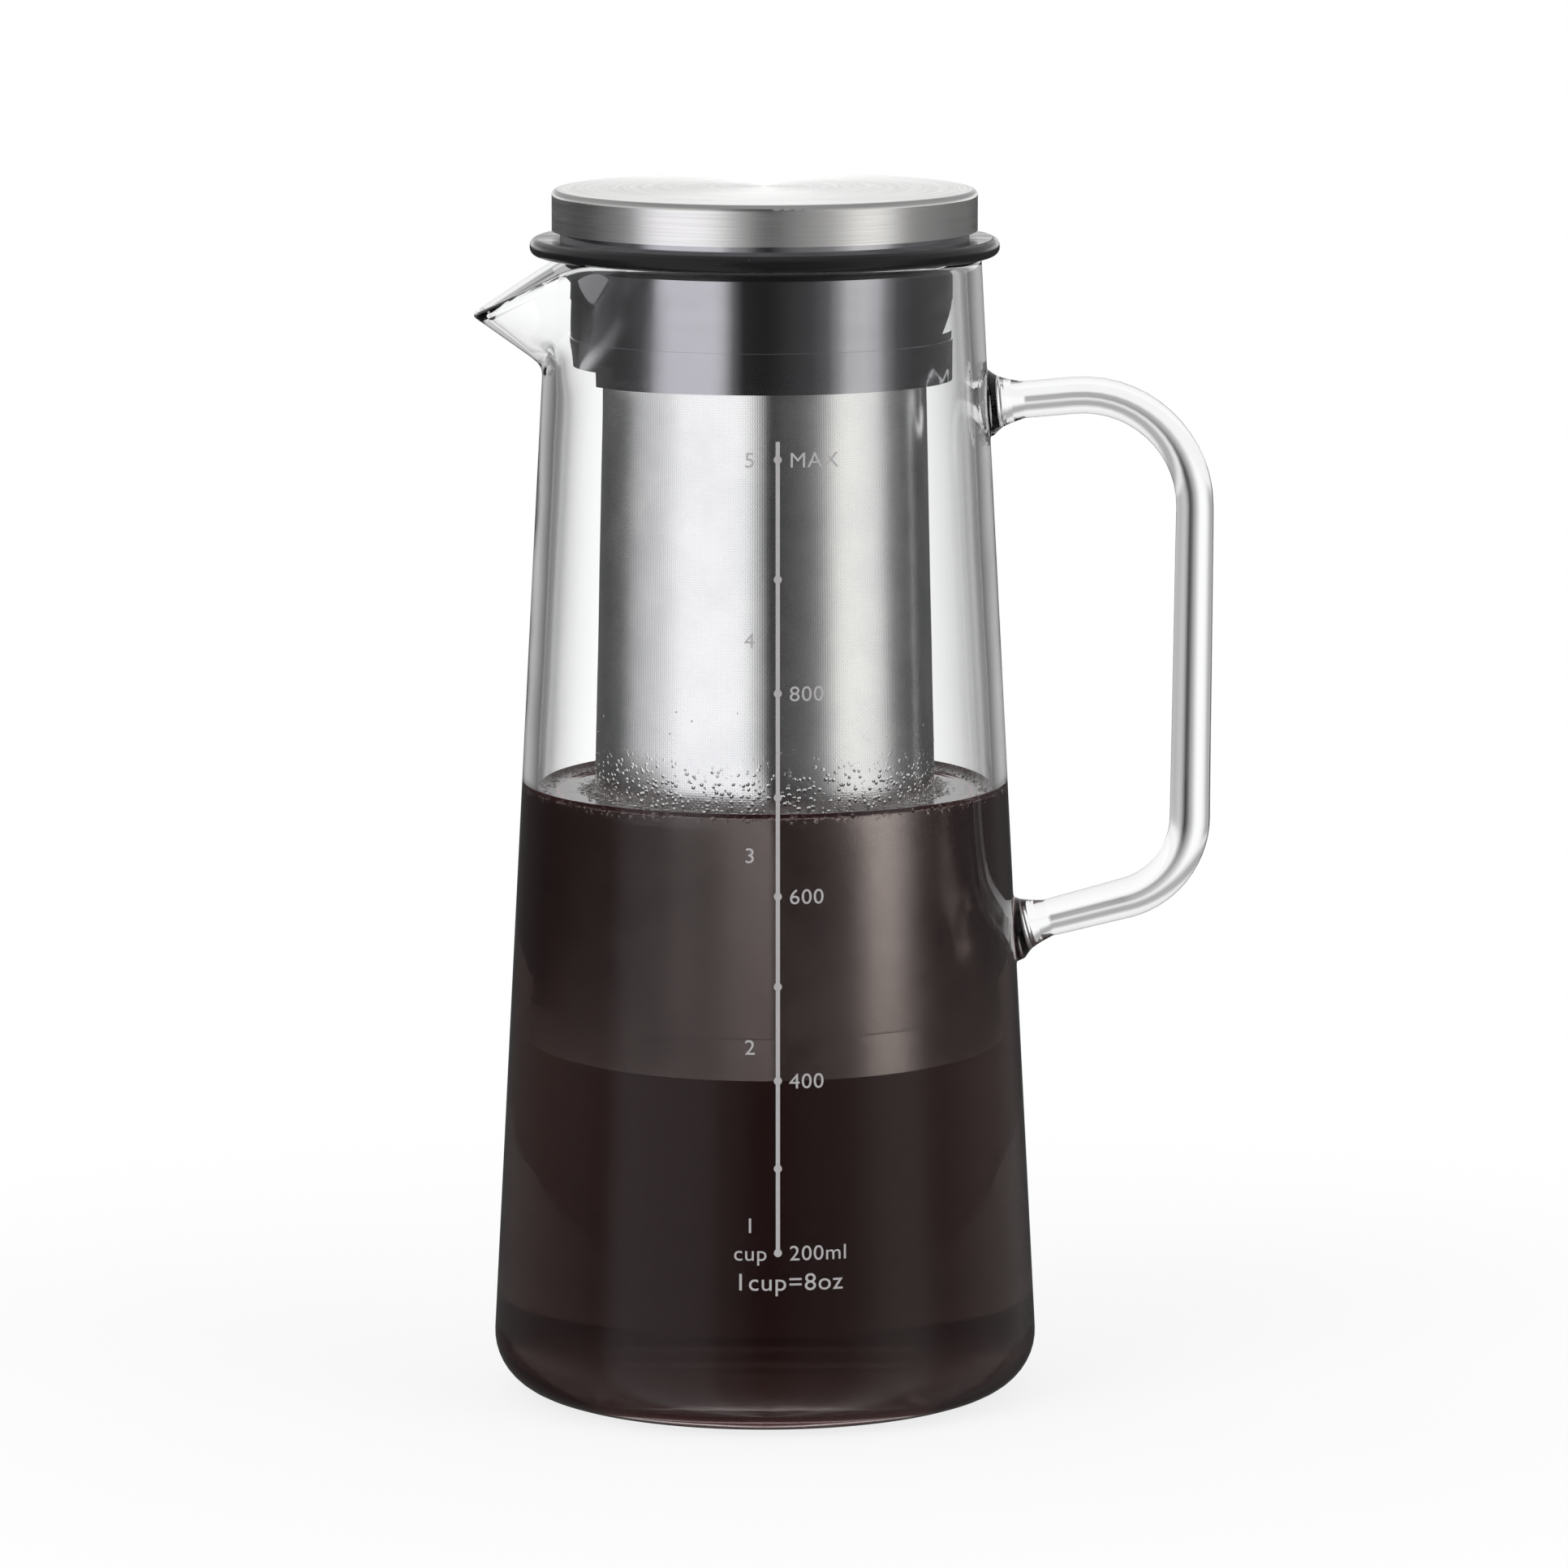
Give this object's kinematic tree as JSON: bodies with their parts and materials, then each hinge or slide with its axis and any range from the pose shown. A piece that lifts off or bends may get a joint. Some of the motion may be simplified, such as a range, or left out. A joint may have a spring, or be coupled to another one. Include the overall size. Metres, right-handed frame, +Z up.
{
  "type": "cold brew coffee maker",
  "caption": "Tapered glass carafe with a pulled spout and a rod handle, a black stopper that hangs a steel mesh filter in the coffee, and a flat brushed steel cap.",
  "frame": {"origin": "centre of the carafe's base, on the surface that it stands on", "axes": "+Z up along the carafe's axis; the spout points along -X and the handle stands along +X"},
  "size_m": [0.1348, 0.0998, 0.2216],
  "materials": {
    "clear_glass": "clear borosilicate glass",
    "coffee": "dark brown liquid",
    "stopper_black": "glossy moulded",
    "silicone_black": "matte moulded silicone",
    "cap_steel": "brushed round the cap",
    "core_black": "satin moulded",
    "filter_steel": "fine satin mesh"
  },
  "bodies": {
    "carafe": {"glass_carafe": "clear_glass", "glass_handle": "clear_glass", "coffee": "coffee"},
    "stopper": {"stopper_body": "stopper_black", "seal_ring": "silicone_black"},
    "filter": {"filter_mesh": "filter_steel", "filter_lining": "filter_steel", "filter_collar": "filter_steel", "filter_base": "filter_steel"},
    "cap": {"cap_cover": "cap_steel", "cap_core": "core_black", "cap_seal": "silicone_black"}
  },
  "joints": [
    {"name": "stopper_lift", "type": "slide", "parent": "carafe", "child": "stopper", "axis": [0, 0, 1], "range_m": [0, 0.165]},
    {"name": "filter_pull", "type": "slide", "parent": "stopper", "child": "filter", "axis": [0, 0, -1], "range_m": [0, 0.045]},
    {"name": "cap_lift", "type": "slide", "parent": "stopper", "child": "cap", "axis": [0, 0, 1], "range_m": [0, 0.03]}
  ]
}
